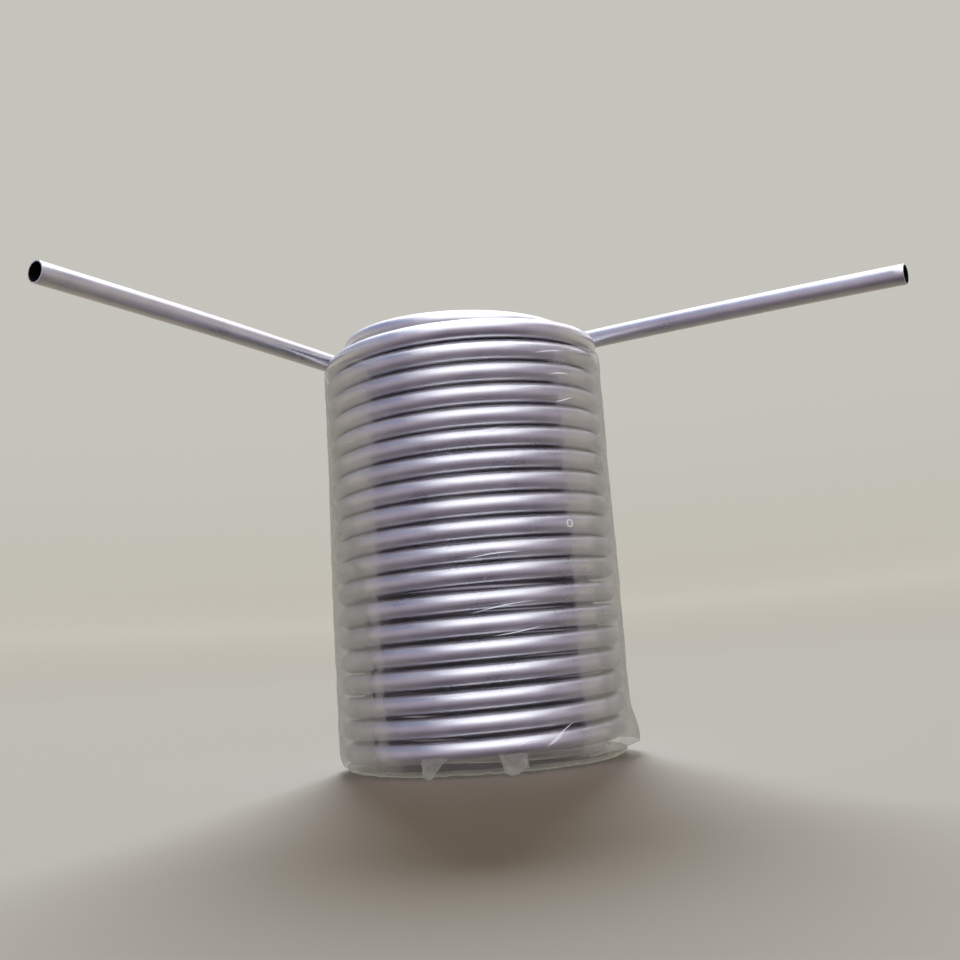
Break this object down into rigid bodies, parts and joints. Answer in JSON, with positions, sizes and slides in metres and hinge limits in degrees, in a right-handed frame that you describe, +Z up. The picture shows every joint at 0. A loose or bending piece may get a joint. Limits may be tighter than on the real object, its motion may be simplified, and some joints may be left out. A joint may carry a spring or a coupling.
{
  "type": "immersion wort chiller",
  "caption": "Close-wound double-layer stainless tube coil with two plain tangent legs at the top, held in clear stretch film.",
  "frame": {"origin": "middle of the whole outline in plan, legs included, on the flat face of the film's base fold; the coil's axis stands 65.3 mm towards -X and 61.9 mm towards +Y of it", "axes": "+Z up the coil's axis to the end the legs leave; +X along the outlet leg away from the coil; the inlet leg runs towards -Y"},
  "size_m": [0.2744, 0.2688, 0.2163],
  "materials": {
    "stainless_coil": "bright annealed, faint lengthwise drawing lines",
    "stainless_leg": "bright annealed, cut ends deburred",
    "stretch_film": "clear glossy stretch film, milky where it is layered"
  },
  "bodies": {
    "root": {"inlet_leg": "stainless_leg", "outer_coil": "stainless_coil", "bottom_crossover": "stainless_coil", "inner_coil": "stainless_coil", "outlet_leg": "stainless_leg", "film_sleeve": "stretch_film", "film_base_fold": "stretch_film", "film_flap_left": "stretch_film", "film_flap_right": "stretch_film"}
  },
  "joints": []
}
